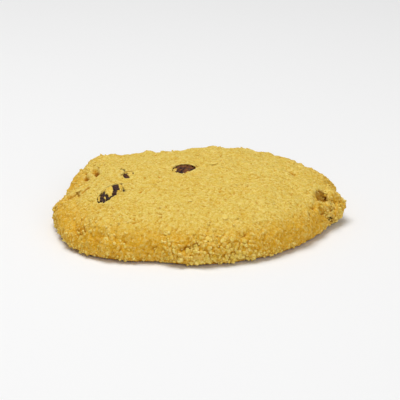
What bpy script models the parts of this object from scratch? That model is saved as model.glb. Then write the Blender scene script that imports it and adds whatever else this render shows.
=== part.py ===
"""Oatmeal raisin cookie: one baked disc of oat dough, with three raisins baked into its top.

Metres, +Z up. The cookie lies on its flat underside at z = 0, the middle of its footprint is the origin,
and its front faces -Y. Each raisin lies in its own pocket in the dough, with a thin gap all round.
"""

import math

import bmesh
import bpy
from mathutils import Euler, Matrix, Vector, noise

MM = 0.001

# Driving dimensions of the disc.
EDGE_RADIUS = 34.2 * MM  # mean radius at the widest ring
DOME_HEIGHT = 11.9 * MM  # crown above the baking tray
EDGE_HEIGHT = 2.6 * MM  # height of the widest ring
FOOT_INSET = 2.6 * MM  # the flat foot ends this far inside the widest ring
DOME_FULLNESS = 3.0  # superellipse power across the disc: higher keeps the top flatter
SHOULDER_FULLNESS = 2.3  # superellipse power up the shoulder: higher makes it squarer

# How finely the disc is turned.
TURN_STEPS = 77
DOME_RINGS = 20
UNDERCUT_RINGS = 4
FOOT_RINGS = 3
# How finely a ball is divided: a raisin, and a pocket or hollow.
FINE_BALL = 4
COARSE_BALL = 3

# Where the outline swells or draws in: angle from +X, half-width (degrees), how far the edge moves (mm).
OUTLINE_SWELLS = (
    (223, 24, 4.7),  # front left, spread widest in the oven
    (188, 5, 1.6),  # pointed left tip
    (176, 7, -2.2),  # cracked bay behind the left tip
    (148, 11, 1.5),  # corner at the back left
    (104, 16, -1.5),  # flatter back
    (50, 24, 1.3),  # full back right
    (22, 8, 2.3),  # shoulder behind the outcrop
    (253, 5, -1.5),  # bite-sized dent in the front edge
    (270, 10, 0.6),  # crumbly front
    (325, 24, -1.4),  # drawn-in front right
    (356, 5, 2.9),  # ragged outcrop at the right
)

# Raised knobs and shallow hollows of the top: x, y, half-width, height, all mm.
TOP_KNOBS = (
    (-25.0, 21.0, 4.0, 2.2),  # lump at the left of the back edge
    (-13.5, 27.0, 2.6, 0.6),  # the row of knobs and dips along the back, from left to right
    (-9.0, 29.0, 3.2, -2.2),
    (-5.6, 27.5, 2.2, 0.7),
    (-0.5, 29.0, 2.6, -0.4),
    (4.5, 28.5, 3.6, 0.9),
    (12.0, 27.5, 3.4, 0.6),
    (24.5, 21.5, 4.5, 0.5),  # broad swelling at the back right
    (-30.5, 6.0, 4.0, -1.6),  # sunk bay behind the left tip
    (-26.0, -17.5, 5.0, -0.9),  # hollow in the left shoulder
    (29.5, 5.0, 3.0, 1.0),  # heaped crumb at the right outcrop
)

# Broad unevenness of the top, from oats and trapped air.
SWELL_WAVELENGTH = 11.0 * MM
SWELL_DEPTH = 0.55 * MM
# Shorter ripples run round the edge.
EDGE_WAVELENGTH = 5.0 * MM
EDGE_DEPTH = 0.45 * MM

# The underside lifts off the tray below the right outcrop, which overhangs like a ledge.
LIFT_AT = 5  # degrees from +X
LIFT_HALF_WIDTH = 14  # degrees
LIFT_HEIGHT = 2.4 * MM
LIFT_FROM_RADIUS = 0.76  # share of the edge radius where the lift begins
LIFT_FULL_RADIUS = 0.88

# Raisins: name, middle x, y, z, half-sizes along their own axes (mm), turn about Z and tilts about
# X and Y (degrees).
RAISINS = (
    ("raisin_back", (-3.9, 4.1, 10.45), (3.4, 4.2, 1.9), -8, (0, 0)),
    ("raisin_left", (-21.7, -10.2, 9.2), (5.8, 2.7, 2.0), 74, (-9, -10)),
    ("raisin_buried", (-17.8, 1.4, 9.55), (2.3, 3.6, 1.9), -12, (0, -6)),
)
RAISIN_WRINKLE = 0.32 * MM  # how deep the skin folds
FOLD_WAVELENGTH = 1.9 * MM
POCKET_GAP = 0.3 * MM  # free space round a raisin

# Hollows in the ragged edge: name, middle x, y, z, half-sizes (mm), turn about Z (degrees).
HOLLOWS = (
    ("pit_above_outcrop", (29.6, -5.2, 7.4), (2.2, 2.8, 2.3), 10),
    ("pit_in_arm", (32.4, -6.2, 5.6), (1.0, 2.0, 1.8), 10),
    ("pit_in_outcrop", (30.0, -10.4, 5.4), (2.2, 1.7, 1.9), 35),
    ("undercut_front", (-10.0, -33.6, 1.0), (3.6, 2.4, 2.2), 8),
)
HOLLOW_ROUGHNESS = 0.35 * MM
# A narrow air hole leads from the outcrop's pit down and back through the lifted underside.
AIR_HOLE_TOP = Vector((31.5, -13.0, 5.3)) * MM
AIR_HOLE_FOOT = Vector((31.5, 4.3, -0.7)) * MM
AIR_HOLE_RADIUS = 0.75 * MM

DOUGH_COLOUR = (0.72, 0.50, 0.13, 1.0)
DOUGH_ROUGHNESS = 0.85
RAISIN_COLOUR = (0.030, 0.013, 0.012, 1.0)
RAISIN_ROUGHNESS = 0.4


def clear_scene():
    for obj in list(bpy.data.objects):
        bpy.data.objects.remove(obj)


def new_collection(name):
    collection = bpy.data.collections.new(name)
    bpy.context.scene.collection.children.link(collection)
    return collection


def new_object(name, mesh, collection):
    obj = bpy.data.objects.new(name, mesh)
    collection.objects.link(obj)
    return obj


def finish(name, colour, roughness):
    material = bpy.data.materials.new(name)
    material.use_nodes = True
    shader = material.node_tree.nodes["Principled BSDF"]
    shader.inputs["Base Color"].default_value = colour
    shader.inputs["Roughness"].default_value = roughness
    shader.inputs["Metallic"].default_value = 0.0
    return material


def bell(distance, half_width):
    """1 in the middle, falling smoothly to nothing past about twice the half-width."""
    return math.exp(-((distance / half_width) ** 2))


def angle_apart(a, b):
    """Degrees between two directions, from 0 to 180."""
    return abs((a - b + 180.0) % 360.0 - 180.0)


def smooth_step(low, high, value):
    share = min(max((value - low) / (high - low), 0.0), 1.0)
    return share * share * (3.0 - 2.0 * share)


def disc_profile():
    """Points (radius, height) from the crown, over the shoulder and the widest ring, to the foot's middle."""
    dome = DOME_HEIGHT - EDGE_HEIGHT
    points = [(0.0, DOME_HEIGHT)]
    for ring in range(1, DOME_RINGS + 1):
        turn = 0.5 * math.pi * (ring / DOME_RINGS) ** 0.85
        across = math.sin(turn) ** (2.0 / DOME_FULLNESS)
        up = math.cos(turn) ** (2.0 / SHOULDER_FULLNESS) if ring < DOME_RINGS else 0.0
        points.append((EDGE_RADIUS * across, EDGE_HEIGHT + dome * up))
    for ring in range(1, UNDERCUT_RINGS + 1):
        turn = 0.5 * math.pi * ring / UNDERCUT_RINGS
        inset = FOOT_INSET * (1.0 - math.cos(turn))
        points.append((EDGE_RADIUS - inset, EDGE_HEIGHT * (1.0 - math.sin(turn))))
    foot_radius = EDGE_RADIUS - FOOT_INSET
    for ring in range(1, FOOT_RINGS + 1):
        points.append((foot_radius * (1.0 - ring / FOOT_RINGS), 0.0))
    return points


def turned_mesh(points, steps):
    """The profile turned about Z by a Screw modifier, as a plain mesh."""
    profile = bpy.data.meshes.new("profile")
    profile.from_pydata([(x, 0.0, z) for x, z in points], [(i, i + 1) for i in range(len(points) - 1)], [])
    blank = new_object("blank", profile, bpy.context.scene.collection)
    screw = blank.modifiers.new("turn", "SCREW")
    screw.steps = screw.render_steps = steps
    screw.use_merge_vertices = True
    screw.merge_threshold = 0.01 * MM
    mesh = bpy.data.meshes.new_from_object(blank.evaluated_get(bpy.context.evaluated_depsgraph_get()))
    bpy.data.objects.remove(blank)
    return mesh


def outline_move(angle):
    """How far the widest ring lies outside the mean radius, at this angle in degrees."""
    return sum(move * MM * bell(angle_apart(angle, at), half) for at, half, move in OUTLINE_SWELLS)


def shaped(point):
    """Where one point of the plain turned disc ends up in the baked cookie, before it is centred."""
    radius = math.hypot(point.x, point.y)
    angle = math.degrees(math.atan2(point.y, point.x))
    spread = 1.0 + outline_move(angle) / EDGE_RADIUS
    moved = Vector((point.x * spread, point.y * spread, point.z))
    share_up = smooth_step(0.0, EDGE_HEIGHT, point.z)
    outward = Vector((point.x, point.y, 0.0)).normalized()

    ripple = noise.noise(moved / EDGE_WAVELENGTH)
    moved += outward * (EDGE_DEPTH * ripple * share_up * smooth_step(0.6, 1.0, radius / EDGE_RADIUS))
    if point.z > EDGE_HEIGHT:
        over_edge = smooth_step(EDGE_HEIGHT, 2.0 * EDGE_HEIGHT, point.z)
        swell = SWELL_DEPTH * noise.noise(moved / SWELL_WAVELENGTH + Vector((3.0, 1.0, 0.0)))
        for x, y, half, height in TOP_KNOBS:
            swell += height * MM * bell(math.hypot(moved.x - x * MM, moved.y - y * MM), half * MM)
        moved.z += swell * over_edge
    near_edge = smooth_step(LIFT_FROM_RADIUS, LIFT_FULL_RADIUS, radius / EDGE_RADIUS)
    under = 1.0 - smooth_step(EDGE_HEIGHT, 2.0 * EDGE_HEIGHT, point.z)
    moved.z += LIFT_HEIGHT * bell(angle_apart(angle, LIFT_AT), LIFT_HALF_WIDTH) * near_edge * under
    return moved


def dough_mesh():
    """The shaped disc, moved so that the middle of its footprint is the origin."""
    mesh = turned_mesh(disc_profile(), TURN_STEPS)
    for vertex in mesh.vertices:
        vertex.co = shaped(vertex.co)
    xs = [vertex.co.x for vertex in mesh.vertices]
    ys = [vertex.co.y for vertex in mesh.vertices]
    mesh.transform(Matrix.Translation((-(min(xs) + max(xs)) / 2, -(min(ys) + max(ys)) / 2, 0.0)))
    return mesh


def ball_mesh(name, half_sizes, grow, wrinkle, seed, fineness=COARSE_BALL):
    """An ellipsoid, grown by a margin, its skin folded in by ridged noise."""
    work = bmesh.new()
    bmesh.ops.create_icosphere(work, subdivisions=fineness, radius=1.0)
    drift = Vector((seed, 2.0 * seed, -seed))
    for vertex in work.verts:
        direction = vertex.co.normalized()
        vertex.co = Vector(a * b * MM for a, b in zip(direction, half_sizes))
        fold = abs(noise.noise(vertex.co / FOLD_WAVELENGTH + drift))
        vertex.co += direction * (grow - wrinkle * (1.0 - min(fold * 2.5, 1.0)))
    mesh = bpy.data.meshes.new(name)
    work.to_mesh(mesh)
    work.free()
    return mesh


def place(obj, middle, turn, tilts=(0, 0)):
    obj.location = Vector(middle) * MM
    obj.rotation_euler = Euler([math.radians(a) for a in (*tilts, turn)], "XYZ")


def cut(body, cutter):
    """Cuts the cutter out of the body with an exact Boolean."""
    cutter.hide_render = True
    cutter.display_type = "WIRE"
    boolean = body.modifiers.new("cut_" + cutter.name, "BOOLEAN")
    boolean.operation = "DIFFERENCE"
    boolean.solver = "EXACT"
    boolean.object = cutter


def air_hole_cutter(cutters):
    length = (AIR_HOLE_FOOT - AIR_HOLE_TOP).length
    work = bmesh.new()
    bmesh.ops.create_cone(
        work, cap_ends=True, segments=12, radius1=AIR_HOLE_RADIUS, radius2=AIR_HOLE_RADIUS, depth=length
    )
    mesh = bpy.data.meshes.new("air_hole")
    work.to_mesh(mesh)
    work.free()
    hole = new_object("air_hole", mesh, cutters)
    hole.location = (AIR_HOLE_TOP + AIR_HOLE_FOOT) / 2
    hole.rotation_euler = (AIR_HOLE_FOOT - AIR_HOLE_TOP).to_track_quat("Z", "Y").to_euler()
    return hole


def main():
    clear_scene()
    cookie = new_collection("oatmeal_raisin_cookie")
    cutters = new_collection("cutters")
    dough_finish = finish("baked_dough", DOUGH_COLOUR, DOUGH_ROUGHNESS)
    raisin_finish = finish("raisin_skin", RAISIN_COLOUR, RAISIN_ROUGHNESS)

    dough = new_object("dough", dough_mesh(), cookie)
    dough.data.materials.append(dough_finish)

    for seed, (name, middle, half_sizes, turn, tilts) in enumerate(RAISINS, start=1):
        skin = ball_mesh(name, half_sizes, 0.0, RAISIN_WRINKLE, seed, FINE_BALL)
        skin.materials.append(raisin_finish)
        raisin = new_object(name, skin, cookie)
        place(raisin, middle, turn, tilts)
        pocket_mesh = ball_mesh("pocket_" + name, half_sizes, POCKET_GAP, 0.0, seed)
        pocket = new_object("pocket_" + name, pocket_mesh, cutters)
        place(pocket, middle, turn, tilts)
        cut(dough, pocket)

    for seed, (name, middle, half_sizes, turn) in enumerate(HOLLOWS, start=11):
        hollow_mesh = ball_mesh(name, half_sizes, 0.0, HOLLOW_ROUGHNESS, seed)
        hollow = new_object(name, hollow_mesh, cutters)
        place(hollow, middle, turn)
        cut(dough, hollow)
    cut(dough, air_hole_cutter(cutters))

    for obj in cookie.objects:
        obj.data.shade_smooth()


main()
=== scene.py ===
"""Oatmeal raisin cookie, finished for looks: baked dough with crumb relief, crumbs, oat flakes and raisins.

Sizes are in millimetres unless a name says otherwise, and become metres where a mesh is written.
"""

import math
import random

import bmesh
import bpy
import numpy as np
from mathutils import Matrix, Vector, kdtree, noise


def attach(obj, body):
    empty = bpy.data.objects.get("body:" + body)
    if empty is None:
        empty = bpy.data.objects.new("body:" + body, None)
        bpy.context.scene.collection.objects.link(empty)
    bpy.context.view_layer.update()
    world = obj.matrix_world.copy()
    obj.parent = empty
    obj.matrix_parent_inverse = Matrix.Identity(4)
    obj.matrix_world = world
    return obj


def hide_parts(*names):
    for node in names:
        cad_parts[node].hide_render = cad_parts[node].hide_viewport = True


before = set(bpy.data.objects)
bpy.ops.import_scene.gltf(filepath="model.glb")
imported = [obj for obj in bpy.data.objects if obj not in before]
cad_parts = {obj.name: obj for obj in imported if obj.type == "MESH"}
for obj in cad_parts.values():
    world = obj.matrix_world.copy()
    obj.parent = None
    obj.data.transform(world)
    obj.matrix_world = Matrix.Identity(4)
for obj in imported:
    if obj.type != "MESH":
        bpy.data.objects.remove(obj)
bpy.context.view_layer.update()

MM = 0.001


class Paint:
    """One material's node tree. node() adds any node: its settings first, then its input values or wires."""

    def __init__(self, name):
        self.material = bpy.data.materials.new(name)
        self.material.use_nodes = True
        self.tree = self.material.node_tree
        self.shader = self.tree.nodes["Principled BSDF"]

    def node(self, kind, settings=(), inputs=(), output=0):
        made = self.tree.nodes.new(kind)
        for key, value in dict(settings).items():
            setattr(made, key, value)
        self.fill(made, inputs)
        return Wire(self, made.outputs[output])

    def fill(self, made, inputs):
        for key, value in dict(inputs).items():
            if isinstance(value, Wire):
                self.tree.links.new(value.socket, made.inputs[key])
            else:
                made.inputs[key].default_value = value

    def place(self):
        """Position in the cookie's own frame, in millimetres."""
        here = self.node("ShaderNodeTexCoord", output="Object")
        scaled = self.node("ShaderNodeVectorMath", {"operation": "SCALE"}, {0: here, "Scale": 1000.0})
        return scaled

    def stored(self, name):
        return self.node("ShaderNodeAttribute", {"attribute_name": name}, output="Fac")

    def noise(self, place, size, detail=2.0, rough=0.5):
        """Smooth noise from 0 to 1 with features of about this size in millimetres."""
        inputs = {"Vector": place, "Scale": 1.0 / size, "Detail": detail, "Roughness": rough}
        return self.node("ShaderNodeTexNoise", {"noise_dimensions": "3D"}, inputs, "Fac")

    def mix(self, share, low, high):
        """A colour that goes from low to high as share goes from 0 to 1."""
        inputs = {0: share, 6: low, 7: high}
        return self.node("ShaderNodeMix", {"data_type": "RGBA", "clamp_factor": True}, inputs, 2)

    def bump(self, height, depth_mm, strength=1.0):
        inputs = {"Height": height, "Distance": depth_mm * MM, "Strength": strength}
        return self.node("ShaderNodeBump", (), inputs, "Normal")

    def finish(self, obj, **inputs):
        self.fill(self.shader, {key.replace("_", " "): value for key, value in inputs.items()})
        obj.data.materials.clear()
        obj.data.materials.append(self.material)


class Wire:
    """One output of a node, with ordinary arithmetic."""

    def __init__(self, paint, socket):
        self.paint = paint
        self.socket = socket

    def maths(self, operation, *values):
        return self.paint.node("ShaderNodeMath", {"operation": operation}, dict(enumerate(values)))

    def __add__(self, other):
        return self.maths("ADD", self, other)

    def __radd__(self, other):
        return self.maths("ADD", other, self)

    def __sub__(self, other):
        return self.maths("SUBTRACT", self, other)

    def __rsub__(self, other):
        return self.maths("SUBTRACT", other, self)

    def __mul__(self, other):
        return self.maths("MULTIPLY", self, other)

    def __rmul__(self, other):
        return self.maths("MULTIPLY", other, self)

    def __pow__(self, other):
        return self.maths("POWER", self, other)

    def ramp(self, low, high):
        """0 below low, 1 above high, eased in between. When low is the larger, it falls instead."""
        if low > high:
            return 1.0 - self.ramp(high, low)
        inputs = {"Value": self, "From Min": low, "From Max": high}
        return self.paint.node("ShaderNodeMapRange", {"interpolation_type": "SMOOTHSTEP"}, inputs)


def split(paint, place):
    """The x, y and z of a position."""
    return [paint.node("ShaderNodeSeparateXYZ", (), {0: place}, axis) for axis in "XYZ"]


def welded_copy(node, name):
    """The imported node's mesh in the row frame, its split corners joined, in an object of its own."""
    mesh = node.data.copy()
    mesh.transform(node.matrix_world)
    work = bmesh.new()
    work.from_mesh(mesh)
    bmesh.ops.remove_doubles(work, verts=work.verts, dist=0.001 * MM)
    work.to_mesh(mesh)
    work.free()
    mesh.name = name
    obj = bpy.data.objects.new(name, mesh)
    bpy.context.scene.collection.objects.link(obj)
    return obj


def apply_remesh(obj, size_mm, smooth_steps):
    """Even small faces all over, so that code can shape them."""
    remesh = obj.modifiers.new("even", "REMESH")
    remesh.mode = "VOXEL"
    remesh.voxel_size = size_mm * MM
    smooth = obj.modifiers.new("soften", "SMOOTH")
    smooth.factor = 0.5
    smooth.iterations = smooth_steps
    graph = bpy.context.evaluated_depsgraph_get()
    made = bpy.data.meshes.new_from_object(obj.evaluated_get(graph))
    obj.modifiers.clear()
    obj.data = made


def places_of(mesh):
    """Vertex positions in millimetres and unit normals, as arrays."""
    count = len(mesh.vertices)
    places = np.empty(count * 3)
    normals = np.empty(count * 3)
    mesh.vertices.foreach_get("co", places)
    mesh.vertices.foreach_get("normal", normals)
    return places.reshape(-1, 3) / MM, normals.reshape(-1, 3)


def write_places(mesh, places):
    mesh.vertices.foreach_set("co", (places * MM).ravel())
    mesh.update()


def store(mesh, name, values):
    """A number at every vertex, which the material reads by name."""
    layer = mesh.attributes.new(name, "FLOAT", "POINT")
    layer.data.foreach_set("value", np.asarray(values, dtype=np.float32))


def smooth_step(low, high, value):
    share = np.clip((value - low) / (high - low), 0.0, 1.0)
    return share * share * (3.0 - 2.0 * share)


def bell(distance, half_width):
    return np.exp(-((distance / half_width) ** 2))


def noise_at(places, size, drift=0.0):
    """Smooth noise from about -1 to 1 at each place."""
    return np.array([noise.noise(Vector(p)) for p in places / size + drift])


def cells_at(places, size, drift=0.0):
    """Rounded lumps that meet in creases: 1 on top of each lump, about 0 in the creases."""
    nearest = np.array([noise.voronoi(Vector(p))[0][0] for p in places / size + drift])
    return 1.0 - np.clip(nearest, 0.0, 1.0) ** 1.5 * 1.4


def averaged(places, edges, rounds):
    """Each place drawn towards its neighbours' middle, this many times over."""
    count = len(places)
    links = np.bincount(edges.ravel(), minlength=count).astype(float)[:, None]
    for _ in range(rounds):
        total = np.zeros_like(places)
        for axis in range(3):
            total[:, axis] += np.bincount(edges[:, 0], places[edges[:, 1], axis], count)
            total[:, axis] += np.bincount(edges[:, 1], places[edges[:, 0], axis], count)
        places = 0.5 * places + 0.5 * total / np.maximum(links, 1.0)
    return places


DOUGH_FACE = 0.30  # side of the dough's small faces
BROAD_SWELL = 6.5
SHORT_SWELL = 3.4
OAT_LUMP = 3.4
CRUMB_LUMP = 1.4
CRUMB_BIT = 1.35
SMALL_BIT = 0.9
GRAIN = 0.80
FINE_GRAIN = 0.7
PORE = 1.1  # in the underside

# Places where the crust broke up into crumbs: x, y, z, reach, how crumbly.
CRUMBLY = (
    (-6.0, -33.5, 3.0, 4.0, 0.8),  # front edge, in a band
    (1.0, -34.0, 4.0, 5.0, 1.0),
    (8.0, -33.0, 3.5, 4.5, 1.0),
    (14.0, -31.0, 2.5, 4.0, 0.7),
    (-28.5, -22.5, 5.5, 4.0, 0.5),  # hollow in the left shoulder
    (-18.5, -30.5, 4.0, 3.0, 0.5),
    (-34.5, -5.0, 4.0, 4.0, 0.7),  # left tip
    (-27.0, 13.0, 9.0, 5.0, 0.5),  # lump at the back left
    (31.5, -6.5, 6.0, 4.5, 0.8),  # right outcrop
    (34.5, -1.0, 4.0, 4.5, 0.7),
)

# Small pits in the top: x, y, half-width, depth.
PITS = (
    (-5.4, -23.1, 0.45, 0.5),
    (-6.6, -29.6, 0.55, 0.6),
    (-5.6, -29.9, 0.40, 0.5),
    (12.2, -7.7, 0.60, 0.6),
    (16.3, -17.5, 0.50, 0.5),
    (19.0, -7.4, 0.60, 0.5),
    (22.1, -9.2, 0.60, 0.5),
    (-3.5, -33.4, 0.70, 0.9),
    (-2.6, -33.7, 0.60, 0.9),
    (-4.2, -33.8, 0.60, 0.8),
    (1.0, 17.8, 0.90, 0.5),
    (-14.4, -12.5, 0.60, 0.5),
    (-28.7, -23.7, 2.2, 0.8),
    (-24.9, -28.6, 1.6, 0.6),
    (29.8, -6.0, 1.1, 0.5),
    (32.2, -6.2, 0.8, 0.4),
    (27.8, -12.2, 0.9, 0.7),
)
STRAY_PITS = 150
STRAY_CRACKS = 40

# Cracks in the top: x and y of both ends, half-width, depth.
CRACKS = (
    (-26.8, 11.6, -25.6, 6.4, 0.65, 1.7),  # between the back left lump and the top
    (-29.2, 10.7, -28.5, 7.3, 0.55, 1.3),
    (-28.5, -5.0, -27.0, -3.4, 0.55, 1.4),
    (-32.6, -5.6, -30.4, -4.6, 0.55, 1.2),  # ledge behind the left tip
    (-30.4, -4.6, -28.8, -6.9, 0.50, 1.0),
    (-28.8, -6.9, -27.1, -1.8, 0.40, 0.6),
    (-27.1, -1.8, -26.3, 3.3, 0.50, 1.1),
    (-10.2, -23.4, -8.3, -24.9, 0.35, 0.6),
    (4.3, 10.2, 6.5, 11.3, 0.40, 0.6),
    (5.2, 19.5, 5.2, 13.5, 0.35, 0.5),
    (12.1, 0.4, 13.8, -1.0, 0.35, 0.6),
    (21.5, 7.0, 24.3, 3.7, 0.60, 1.1),
    (24.3, 3.7, 27.0, 3.0, 0.40, 0.6),
    (28.0, -9.0, 31.0, -3.0, 0.50, 0.8),  # across the right outcrop
    (31.4, -9.5, 33.0, -4.0, 0.50, 0.9),
)
# Where raisin skin shows through the dough in thin scraps: x and y of both ends, half-width.
SKIN_SCRAPS = (
    (-19.1, -7.7, -18.3, -10.7, 0.30),
    (-19.3, -4.4, -19.0, -5.2, 0.25),
    (-19.4, 5.2, -18.8, 3.6, 0.20),
)
# How far the dough creeps in over a raisin: middle x and y, half-length, half-width, turn.
LIPS = (
    (-3.9, 4.1, 4.2, 3.4, 82.0),
    (-21.7, -10.2, 5.8, 2.7, 74.0),
    (-17.8, 1.4, 3.6, 2.3, 78.0),
)
LIP_REACH = 0.30


def line_distance(flat, x0, y0, x1, y1):
    """How far each place lies from a straight line between two points, and its share of the way along."""
    along = np.array((x1 - x0, y1 - y0))
    share = np.clip(((flat - (x0, y0)) @ along) / (along @ along), 0.0, 1.0)
    return np.linalg.norm(flat - (x0, y0) - share[:, None] * along, axis=1), share


dough = welded_copy(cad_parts["dough"], "dough_baked")
apply_remesh(dough, DOUGH_FACE, 3)
places, normals = places_of(dough.data)
edges = np.array([edge.vertices[:] for edge in dough.data.edges])

warp = np.stack([noise_at(places, 2.3, d) for d in (5.0, 15.0, 25.0)], axis=1)
for x, y, half_length, half_width, turn in LIPS:
    turn = math.radians(turn)
    off = places[:, :2] - (x, y)
    along = (off @ (math.cos(turn), math.sin(turn))) / half_length
    across = (off @ (-math.sin(turn), math.cos(turn))) / half_width
    share = np.hypot(along, across)
    pull = LIP_REACH * smooth_step(1.5, 0.8, share) * smooth_step(8.5, 9.5, places[:, 2])
    pull *= 0.75 + 0.6 * warp[:, 0]
    places[:, :2] -= off / np.maximum(np.linalg.norm(off, axis=1), 0.5)[:, None] * pull[:, None]
    places[:, 2] += 0.18 * pull
write_places(dough.data, places)
places, normals = places_of(dough.data)

crumbly = np.zeros(len(places))
for x, y, z, reach, strength in CRUMBLY:
    crumbly += strength * bell(np.linalg.norm(places - (x, y, z), axis=1), reach)
crumbly = np.clip(crumbly, 0.0, 1.2)
facing_down = smooth_step(0.55, 0.95, -normals[:, 2]) * smooth_step(1.2, 0.4, places[:, 2])
radius = np.hypot(places[:, 0], places[:, 1])
shoulder = smooth_step(27.0, 33.0, radius) * (1.0 - facing_down)

bent = places + 0.9 * warp
relief = 0.50 * noise_at(places, BROAD_SWELL, 40.0) + 0.42 * noise_at(places, SHORT_SWELL, 50.0)
relief += (0.26 + 0.22 * shoulder + 0.20 * crumbly) * (cells_at(bent, OAT_LUMP, 3.0) - 0.5)
crumb_lumps = cells_at(places + 0.4 * warp, CRUMB_LUMP, 9.0) - 0.5
relief += (0.10 + 0.08 * shoulder + 0.26 * crumbly) * crumb_lumps
bits = smooth_step(-0.06, 0.12, noise_at(bent, CRUMB_BIT, 9.0))
bits += smooth_step(0.02, 0.16, noise_at(bent, SMALL_BIT, 19.0))
relief += (0.09 + 0.03 * shoulder) * bits
relief += (0.12 + 0.05 * shoulder + 0.20 * crumbly) * (cells_at(places, GRAIN, 17.0) - 0.5)
relief += (0.10 + 0.08 * crumbly) * noise_at(places, FINE_GRAIN, 60.0)
relief *= 1.0 - 0.9 * facing_down

chance = random.Random(7)
flat = places[:, :2] + 0.35 * warp[:, :2]
is_top = smooth_step(-0.1, 0.4, normals[:, 2])
pits = list(PITS)
while len(pits) < len(PITS) + STRAY_PITS:
    x = chance.uniform(-34.0, 34.0)
    y = chance.uniform(-34.0, 34.0)
    if math.hypot(x, y) < 33.5:
        pits.append((x, y, chance.uniform(0.22, 0.48), chance.uniform(0.2, 0.5)))
cracks = list(CRACKS)
while len(cracks) < len(CRACKS) + STRAY_CRACKS:
    x = chance.uniform(-32.0, 32.0)
    y = chance.uniform(-32.0, 32.0)
    turn = chance.uniform(0.0, math.pi)
    half = chance.uniform(0.5, 1.8)
    if math.hypot(x, y) < 32.0:
        dx = half * math.cos(turn)
        dy = half * math.sin(turn)
        width_and_depth = (chance.uniform(0.2, 0.35), chance.uniform(0.15, 0.4))
        cracks.append((x - dx, y - dy, x + dx, y + dy, *width_and_depth))
opened = np.zeros(len(places))
ragged = 0.7 * np.stack([noise_at(places, 1.5, d) for d in (33.0, 43.0)], axis=1)
for x, y, half, depth in pits:
    off = np.linalg.norm(flat + ragged * min(half, 0.8) - (x, y), axis=1)
    opened = np.maximum(opened, depth * bell(off, half))
for x0, y0, x1, y1, half, depth in cracks:
    off, share = line_distance(flat + ragged, x0, y0, x1, y1)
    opened = np.maximum(opened, depth * bell(off, half) * (0.4 + 0.6 * np.sin(np.pi * share)))
relief -= opened * is_top
scraps = np.zeros(len(places))
for x0, y0, x1, y1, half in SKIN_SCRAPS:
    off, share = line_distance(flat + 0.4 * ragged, x0, y0, x1, y1)
    scraps = np.maximum(scraps, smooth_step(half * 1.5, half * 0.8, off))
scraps *= is_top
relief -= 0.35 * scraps

# The underside took the tray's flatness, with fine pores and a few broad shallow dips.
pores = 0.9 * np.clip(noise_at(places, PORE, 80.0) - 0.25, 0.0, 1.0)
pores += 0.12 * np.clip(noise_at(places, 4.0, 90.0), 0.0, 1.0)
relief -= pores * facing_down

shaped = places + normals * relief[:, None]
shaped[:, 2] = np.maximum(shaped[:, 2], 0.0)
write_places(dough.data, shaped)

# How far each place sinks below its neighbours' middle. The material paints shade into the hollows and a
# highlight onto the ridges from it.
hollow = np.einsum("ij,ij->i", averaged(shaped, edges, 8) - shaped, normals)
store(dough.data, "hollow", hollow)
store(dough.data, "underside", facing_down)
store(dough.data, "scraps", scraps)
store(dough.data, "opened", opened * is_top)
dough.data.shade_smooth()

GOLD = (0.755, 0.545, 0.098, 1.0)
# Pale crumb: the real pale specks, and also a painted highlight on the ridges of the crust.
PALE_AND_HIGHLIGHT = (0.88, 0.70, 0.23, 1.0)
OCHRE = (0.68, 0.405, 0.026, 1.0)
# Edge brown: partly the rim's real browning, partly painted shade on the lower shoulder.
EDGE_BROWN_AND_SHADE = (0.74, 0.375, 0.008, 1.0)
# Toasted brown: the real brown of toasted specks and of the underside, and also painted shade where hollows,
# pits and cracks are darkened with it.
TOAST_AND_SHADE = (0.54, 0.235, 0.008, 1.0)
# Painted shade: the dark brown painted into the deepest hollows, pits and cracks.
CREVICE_SHADE = (0.33, 0.120, 0.006, 1.0)
SKIN = (0.030, 0.014, 0.016, 1.0)


def dough_colour(paint, at, browned_and_shaded):
    """Golden crumb with paler and browner specks, browner as the third value nears 1: partly real browning
    of the edge, partly painted shade on the shoulder.
    """
    patchy = paint.noise(at, 6.0, 4.0, 0.6).ramp(0.45, 0.70)
    speckle = paint.noise(at, 0.75, 3.0, 0.65)
    specks = paint.noise(at, 0.40, 2.0, 0.6)
    flecks = paint.noise(at, 1.5, 3.0, 0.6).ramp(0.52, 0.68)
    colour = paint.mix(0.45 * patchy, GOLD, OCHRE)
    colour = paint.mix(0.85 * browned_and_shaded, colour, EDGE_BROWN_AND_SHADE)
    colour = paint.mix(0.75 * speckle.ramp(0.50, 0.62) * (1.0 - 0.6 * browned_and_shaded), colour, PALE_AND_HIGHLIGHT)
    colour = paint.mix(0.55 * flecks, colour, OCHRE)
    colour = paint.mix(0.60 * specks.ramp(0.54, 0.66) * (1.0 - 0.5 * browned_and_shaded), colour, PALE_AND_HIGHLIGHT)
    colour = paint.mix(0.50 * specks.ramp(0.44, 0.32), colour, TOAST_AND_SHADE)
    return paint.mix(0.70 * speckle.ramp(0.45, 0.33), colour, TOAST_AND_SHADE)


paint = Paint("baked_dough")
at = paint.place()
x, y, z = split(paint, at)
out = (x * x + y * y) ** 0.5
# Browner out on the rim and lower down its shoulder: partly the crust's real browning, partly painted shade
# on the shoulder.
browned_and_shaded = (out + 7.0 * paint.noise(at, 4.0)).ramp(27.5, 36.0) * z.ramp(10.5, 5.0)
colour = dough_colour(paint, at, browned_and_shaded)
hollow_here = paint.stored("hollow")
# Painted highlight: the ridges between hollows made paler.
colour = paint.mix(0.40 * (0.0 - hollow_here).ramp(0.03, 0.16), colour, PALE_AND_HIGHLIGHT)
# Painted shade: hollows in the crust darkened, the deeper ones darker still.
colour = paint.mix(0.75 * hollow_here.ramp(0.03, 0.18), colour, TOAST_AND_SHADE)
colour = paint.mix(0.80 * hollow_here.ramp(0.16, 0.40), colour, CREVICE_SHADE)
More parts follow.
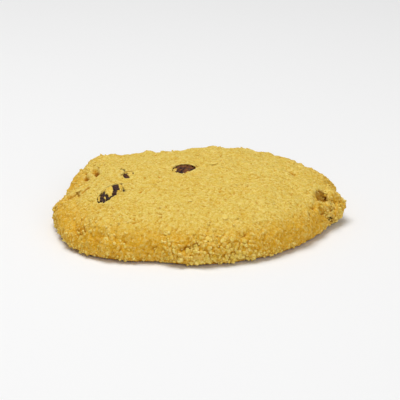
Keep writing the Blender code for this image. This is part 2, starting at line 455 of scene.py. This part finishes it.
# Painted shade: pits and cracks darkened towards their depths.
opened_here = paint.stored("opened")
colour = paint.mix(0.85 * opened_here.ramp(0.35, 0.80), colour, TOAST_AND_SHADE)
colour = paint.mix(0.85 * opened_here.ramp(0.75, 1.30), colour, CREVICE_SHADE)
colour = paint.mix(0.75 * paint.stored("underside"), colour, TOAST_AND_SHADE)
colour = paint.mix(0.95 * paint.stored("scraps"), colour, SKIN)
grain = paint.noise(at, 0.38, 3.0, 0.65)
fine = paint.bump(grain, 0.30, 1.0)
paint.finish(
    dough,
    Base_Color=colour,
    Roughness=0.80 + 0.15 * grain,
    Normal=fine,
    Specular_IOR_Level=0.15,
    Subsurface_Weight=0.06,
    Subsurface_Radius=(1.0, 0.5, 0.2),
    Subsurface_Scale=0.0015,
)
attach(dough, "root")
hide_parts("dough")

# ---------------------------------------------------------------------------------------------------------
# Loose crumbs. Bits of the same dough, 0.3 to 1.3 mm, that broke from the crust and stuck again as it baked,
# thickest along the lower front edge and round the right outcrop. Each is half sunk in the crust.
# ---------------------------------------------------------------------------------------------------------
CRUMB_COUNT = 1300
CRUMB_SIZES = (0.15, 0.46)  # half-widths
CRUMB_LUMPINESS = 0.55


def crumb_ball(work, middle, half_sizes, turn, drift):
    """Adds one lumpy ball to the mesh being made."""
    for vertex in bmesh.ops.create_icosphere(work, subdivisions=2, radius=1.0)["verts"]:
        bulge = 1.0 + CRUMB_LUMPINESS * noise.noise(vertex.co * 1.3 + drift)
        vertex.co = turn @ Vector(c * h * bulge for c, h in zip(vertex.co, half_sizes)) + middle


lower_edge = smooth_step(31.0, 33.5, radius) * bell(shaped[:, 2] - 1.6, 1.0) * (shaped[:, 1] < 5.0)
weight = 0.05 + crumbly ** 1.5 + 0.15 * shoulder + 0.9 * lower_edge
weight *= (1.0 - facing_down) * (shaped[:, 2] > 0.6)
picked = np.random.default_rng(3).choice(len(shaped), CRUMB_COUNT, replace=False, p=weight / weight.sum())
chance = random.Random(5)
work = bmesh.new()
for i in picked:
    half = chance.uniform(*CRUMB_SIZES)
    half *= 0.7 + 0.4 * min(crumbly[i], 1.0) + 0.35 * lower_edge[i]
    sizes = [half * chance.uniform(0.7, 1.25) * MM for _ in range(3)]
    turn = Matrix.Rotation(chance.uniform(0, math.tau), 3, Vector(normals[i]))
    middle = Vector(shaped[i] + normals[i] * half * chance.uniform(-0.2, 0.35)) * MM
    crumb_ball(work, middle, sizes, turn, Vector((chance.uniform(0, 50), 0, 0)))
mesh = bpy.data.meshes.new("loose_crumbs")
work.to_mesh(mesh)
work.free()
mesh.shade_smooth()
crumbs = bpy.data.objects.new("loose_crumbs", mesh)
bpy.context.scene.collection.objects.link(crumbs)

paint = Paint("loose_crumbs")
at = paint.place()
x, y, z = split(paint, at)
colour = paint.mix(paint.noise(at, 1.4, 2.0).ramp(0.32, 0.52), OCHRE, GOLD)
colour = paint.mix(0.8 * paint.noise(at, 0.8, 2.0).ramp(0.48, 0.62), colour, PALE_AND_HIGHLIGHT)
grain = paint.noise(at, 0.35, 3.0, 0.6)
fine = paint.bump(grain, 0.12, 0.7)
paint.finish(crumbs, Base_Color=colour, Roughness=0.78 + 0.15 * grain, Normal=fine, Specular_IOR_Level=0.25)
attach(crumbs, "root")

# ---------------------------------------------------------------------------------------------------------
# Oat flakes. Rolled oats, flat ovals 2 to 3.5 mm long and paler than the dough, baked into the crust so that
# little more than one face or edge of each shows.
# ---------------------------------------------------------------------------------------------------------
OAT_COUNT = 46
# The ones that show best: x, y and the turn about the crust's normal in degrees.
CLEAR_OATS = (
    (-21.6, -24.6, 20.0),
    (-19.4, -26.2, -30.0),
    (8.0, 3.0, 60.0),
    (-2.0, -18.0, 110.0),
    (18.0, -18.0, 150.0),
)


def flake(work, middle, up, long_way, half_sizes, drift):
    """Adds one rolled oat: a flat oval with a crease down its length."""
    across = up.cross(long_way).normalized()
    for vertex in bmesh.ops.create_icosphere(work, subdivisions=3, radius=1.0)["verts"]:
        a, b, c = vertex.co
        crease = 0.35 * math.exp(-((b / 0.22) ** 2)) if c > 0 else 0.0
        wavy = 0.5 * noise.noise(vertex.co * 1.2 + drift)
        lift = half_sizes[2] * (c * (1.0 - crease) + wavy)
        vertex.co = middle + long_way * (a * half_sizes[0]) + across * (b * half_sizes[1]) + up * lift


tree = kdtree.KDTree(len(shaped))
for i, place in enumerate(shaped):
    tree.insert(place, i)
tree.balance()


def crust_at(x, y):
    """The index of the top crust's vertex nearest to straight above this spot."""
    return tree.find(Vector((x, y, 14.0 - 0.006 * (x * x + y * y))))[1]


chance = random.Random(11)
oats = [(crust_at(x, y), math.radians(turn)) for x, y, turn in CLEAR_OATS]
weight = (0.3 + 0.5 * shoulder + 0.5 * crumbly) * (1.0 - facing_down) * (shaped[:, 2] > 1.5)
spots = np.random.default_rng(13).choice(len(shaped), OAT_COUNT, replace=False, p=weight / weight.sum())
oats += [(i, chance.uniform(0, math.tau)) for i in spots]
level_normals = averaged(normals, edges, 6)
work = bmesh.new()
for i, turn in oats:
    up = Vector(level_normals[i]).normalized()
    long_way = up.orthogonal().normalized()
    long_way.rotate(Matrix.Rotation(turn, 3, up))
    length = chance.uniform(0.8, 1.4)
    sizes = (length * MM, length * chance.uniform(0.55, 0.75) * MM, chance.uniform(0.16, 0.24) * MM)
    up_tilted = (up + 0.25 * Vector((chance.uniform(-1, 1), chance.uniform(-1, 1), 0))).normalized()
    middle = (Vector(shaped[i]) - up * chance.uniform(0.08, 0.22)) * MM
    flake(work, middle, up_tilted, long_way, sizes, Vector((chance.uniform(0, 50), 3, 0)))
mesh = bpy.data.meshes.new("oat_flakes")
work.to_mesh(mesh)
work.free()
mesh.shade_smooth()
flakes = bpy.data.objects.new("oat_flakes", mesh)
bpy.context.scene.collection.objects.link(flakes)

OAT_PALE = (0.79, 0.61, 0.17, 1.0)
paint = Paint("oat_flakes")
at = paint.place()
streaks = paint.noise(at, 0.6, 3.0, 0.6)
colour = paint.mix(streaks.ramp(0.42, 0.62), GOLD, OAT_PALE)
colour = paint.mix(0.6 * paint.noise(at, 2.0).ramp(0.50, 0.66), colour, OCHRE)
fine = paint.bump(streaks, 0.1, 0.6)
paint.finish(flakes, Base_Color=colour, Roughness=0.65 + 0.2 * streaks, Normal=fine, Specular_IOR_Level=0.3)
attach(flakes, "root")

# ---------------------------------------------------------------------------------------------------------
# Raisins. Dried grapes, nearly black or reddish brown and folded into deep wrinkles, baked into the top so
# that only part of each shows. A thin crust of dough covers the rest of the skin.
# ---------------------------------------------------------------------------------------------------------
RAISIN_FACE = 0.16
# Node, fold depth, redness, and the strokes where bare skin shows: x and y of both ends, half-width. The
# dough that crept over it as it baked covers the rest.
RAISINS = (
    (
        "raisin_back",
        0.50,
        1.0,
        (
            (-6.4, 4.4, -5.2, 6.2, 0.60),
            (-4.6, 2.2, -2.6, 3.6, 1.15),
            (-4.2, 4.9, -2.4, 5.2, 1.90),
            (-1.9, 4.4, -1.0, 4.9, 0.70),
        ),
    ),
    (
        "raisin_left",
        0.45,
        0.15,
        (
            (-22.6, -7.8, -21.5, -5.8, 0.36),
            (-21.5, -5.8, -20.6, -4.9, 0.62),
            (-20.8, -5.2, -19.6, -5.8, 0.36),
            (-21.2, -6.2, -20.5, -10.2, 0.46),
            (-20.5, -10.2, -20.9, -13.2, 0.36),
            (-20.9, -13.2, -22.1, -14.9, 0.50),
            (-22.1, -14.9, -22.6, -12.4, 0.34),
            (-20.3, -6.4, -19.8, -9.3, 0.28),
            (-23.5, -10.0, -23.6, -12.8, 0.50),
            (-23.6, -12.8, -24.4, -15.6, 0.36),
            (-23.5, -13.2, -22.9, -14.9, 0.28),
        ),
    ),
    (
        "raisin_buried",
        0.45,
        0.55,
        (
            (-19.1, 4.2, -18.5, 0.6, 0.30),
            (-18.6, 0.9, -18.2, -1.9, 0.48),
            (-18.5, 0.8, -17.4, 1.9, 0.40),
            (-17.6, 1.8, -16.4, 2.3, 0.24),
            (-18.0, 0.2, -17.1, -1.2, 0.22),
        ),
    ),
)
SKIN_RED = (0.175, 0.058, 0.010, 1.0)
SKIN_DUST = (0.30, 0.16, 0.050, 1.0)
for drift, (node, fold_depth, redness, strokes) in enumerate(RAISINS):
    raisin = welded_copy(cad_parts[node], node + "_skin")
    apply_remesh(raisin, RAISIN_FACE, 2)
    places, normals = places_of(raisin.data)
    bent = places + 0.5 * np.stack([noise_at(places, 1.6, d + drift) for d in (5.0, 15.0, 25.0)], axis=1)
    folds = 1.0 - np.clip(np.abs(noise_at(bent, 1.5, 7.0 * drift)) * 3.2, 0.0, 1.0)
    fine_folds = 1.0 - np.clip(np.abs(noise_at(bent, 0.75, 30.0 + drift)) * 3.0, 0.0, 1.0)
    skin = 0.20 - fold_depth * folds ** 1.4 - 0.16 * fine_folds
    shows = np.zeros(len(places))
    flat = places[:, :2] + 0.22 * np.stack([noise_at(places, 0.8, d) for d in (44.0, 54.0)], axis=1)
    for x0, y0, x1, y1, half in strokes:
        off, share = line_distance(flat, x0, y0, x1, y1)
        shows = np.maximum(shows, smooth_step(1.50, 1.00, off / half))
    covered = (1.0 - shows) * smooth_step(0.0, 0.4, normals[:, 2])
    crust = 0.26 + 0.14 * noise_at(places, 1.3, 71.0) + 0.08 * noise_at(places, 0.6, 61.0)
    skin = skin * (1.0 - covered) + crust * covered
    skin -= 0.20 * (1.0 - covered) * (1.0 - redness)
    places = places + normals * skin[:, None]
    write_places(raisin.data, places)
    store(raisin.data, "folds", folds)
    store(raisin.data, "covered", covered)
    raisin.data.shade_smooth()

    paint = Paint(node + "_skin")
    at = paint.place()
    red = paint.noise(at, 1.3, 2.0).ramp(0.38, 0.56)
    colour = paint.mix(redness * red, SKIN, SKIN_RED)
    dusty = paint.noise(at, 0.6, 3.0, 0.6).ramp(0.5, 0.7) * paint.stored("folds").ramp(0.6, 0.1)
    colour = paint.mix(0.45 * dusty, colour, SKIN_DUST)
    crust_share = paint.stored("covered")
    colour = paint.mix(crust_share.ramp(0.25, 0.65), colour, dough_colour(paint, at, 0.2))
    sheen = paint.noise(at, 0.9, 2.0)
    rough = 0.42 + 0.20 * sheen + 0.35 * crust_share
    tiny = paint.bump(paint.noise(at, 0.35, 3.0, 0.6), 0.14, 0.8)
    paint.finish(raisin, Base_Color=colour, Roughness=rough, Normal=tiny, Specular_IOR_Level=0.18)
    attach(raisin, "root")
    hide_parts(node)

# ---------------------------------------------------------------------------------------------------------
# Floor, lamps and camera. A plain white sweep, one wide soft lamp overhead, a fill from the front.
# ---------------------------------------------------------------------------------------------------------
FLOOR_HALF = 1.5  # metres
bpy.ops.mesh.primitive_plane_add(size=2 * FLOOR_HALF, location=(0, 0, 0))
floor = bpy.context.object
floor.name = "floor"
paint = Paint("floor")
paint.finish(floor, Base_Color=(0.88, 0.88, 0.88, 1.0), Roughness=0.8, Specular_IOR_Level=0.1)

LAMPS = (
    ("overhead", (-0.12, 0.02, 0.70), 0.45, 3.95),
    ("front_fill", (0.26, -0.78, 0.34), 0.60, 2.15),
)
for name, place, size, watts in LAMPS:
    lamp = bpy.data.lights.new(name, "AREA")
    lamp.size = size
    lamp.energy = watts
    lamp.color = (1.0, 1.0, 1.0)
    lamp_object = bpy.data.objects.new(name, lamp)
    lamp_object.location = place
    lamp_object.rotation_euler = (Vector((0, 0, 0)) - Vector(place)).to_track_quat("-Z", "Y").to_euler()
    bpy.context.scene.collection.objects.link(lamp_object)

world = bpy.data.worlds.new("studio")
world.use_nodes = True
world.node_tree.nodes["Background"].inputs["Color"].default_value = (1.0, 1.0, 1.0, 1.0)
world.node_tree.nodes["Background"].inputs["Strength"].default_value = 0.29
bpy.context.scene.world = world

CAMERA_ELEVATION = math.radians(19.0)
CAMERA_DISTANCE = 0.55
CAMERA_LENS = 200.0
LOOK_AT = Vector((0.0, 0.0, 0.005))
camera = bpy.data.cameras.new("camera")
camera.lens = CAMERA_LENS
camera.sensor_width = 36.0
camera_object = bpy.data.objects.new("camera", camera)
back = Vector((0.0, -math.cos(CAMERA_ELEVATION), math.sin(CAMERA_ELEVATION)))
camera_object.location = LOOK_AT + back * CAMERA_DISTANCE
camera_object.rotation_euler = (-back).to_track_quat("-Z", "Y").to_euler()
bpy.context.scene.collection.objects.link(camera_object)
bpy.context.scene.camera = camera_object
bpy.context.scene.view_settings.view_transform = "Standard"

bpy.context.view_layer.update()
